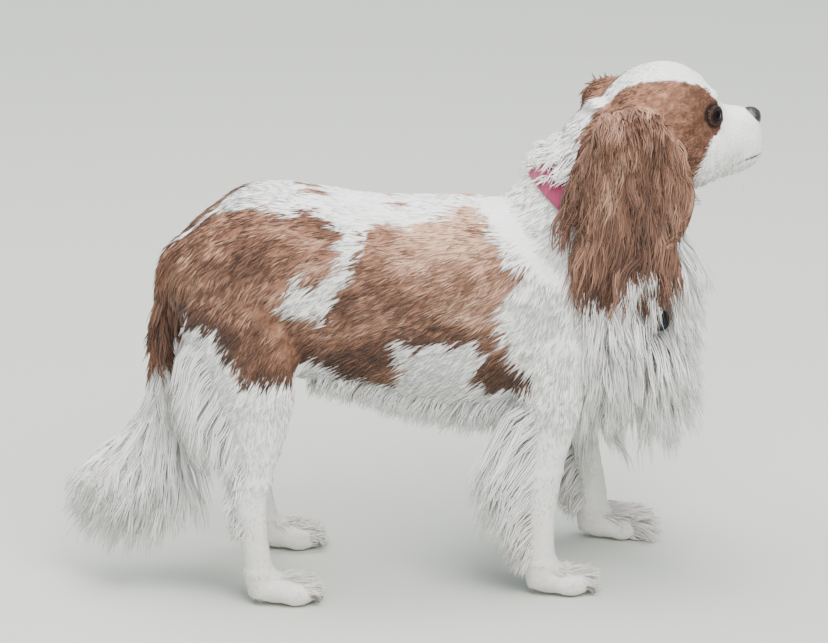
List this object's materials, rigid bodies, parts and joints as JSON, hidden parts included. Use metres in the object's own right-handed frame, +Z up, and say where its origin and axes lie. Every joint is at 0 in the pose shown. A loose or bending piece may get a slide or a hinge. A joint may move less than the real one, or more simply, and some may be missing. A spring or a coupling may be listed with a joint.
{
  "type": "cavalier king charles spaniel",
  "caption": "Life-size still model of a standing small spaniel with long feathered ears, plumed tail and a collar with a blank tag.",
  "frame": {"origin": "on the floor, under the middle of the dog's box", "axes": "+X the way the dog faces, +Y its left, +Z up"},
  "size_m": [0.5582, 0.1534, 0.4253],
  "materials": {
    "coat_body": "long silky white coat with chestnut patches",
    "coat_head": "short silky chestnut and white coat",
    "coat_ear": "long wavy chestnut feathering",
    "eye": "wet dark brown",
    "nose_leather": "moist pebbled black",
    "collar_webbing": "woven magenta webbing",
    "tag_metal": "worn dark steel, blank"
  },
  "bodies": {
    "root": {"head": "coat_head", "neck": "coat_body", "torso": "coat_body", "tail_upper": "coat_body", "tail_lower": "coat_body", "fore_leg_right": "coat_body", "fore_leg_left": "coat_body", "hind_leg_right": "coat_body", "hind_leg_left": "coat_body", "fore_paw_right": "coat_body", "fore_paw_left": "coat_body", "hind_paw_right": "coat_body", "hind_paw_left": "coat_body", "ear_right": "coat_ear", "ear_left": "coat_ear", "eye_right": "eye", "eye_left": "eye", "nose": "nose_leather", "collar": "collar_webbing", "tag_ring": "tag_metal", "tag": "tag_metal"}
  },
  "joints": []
}
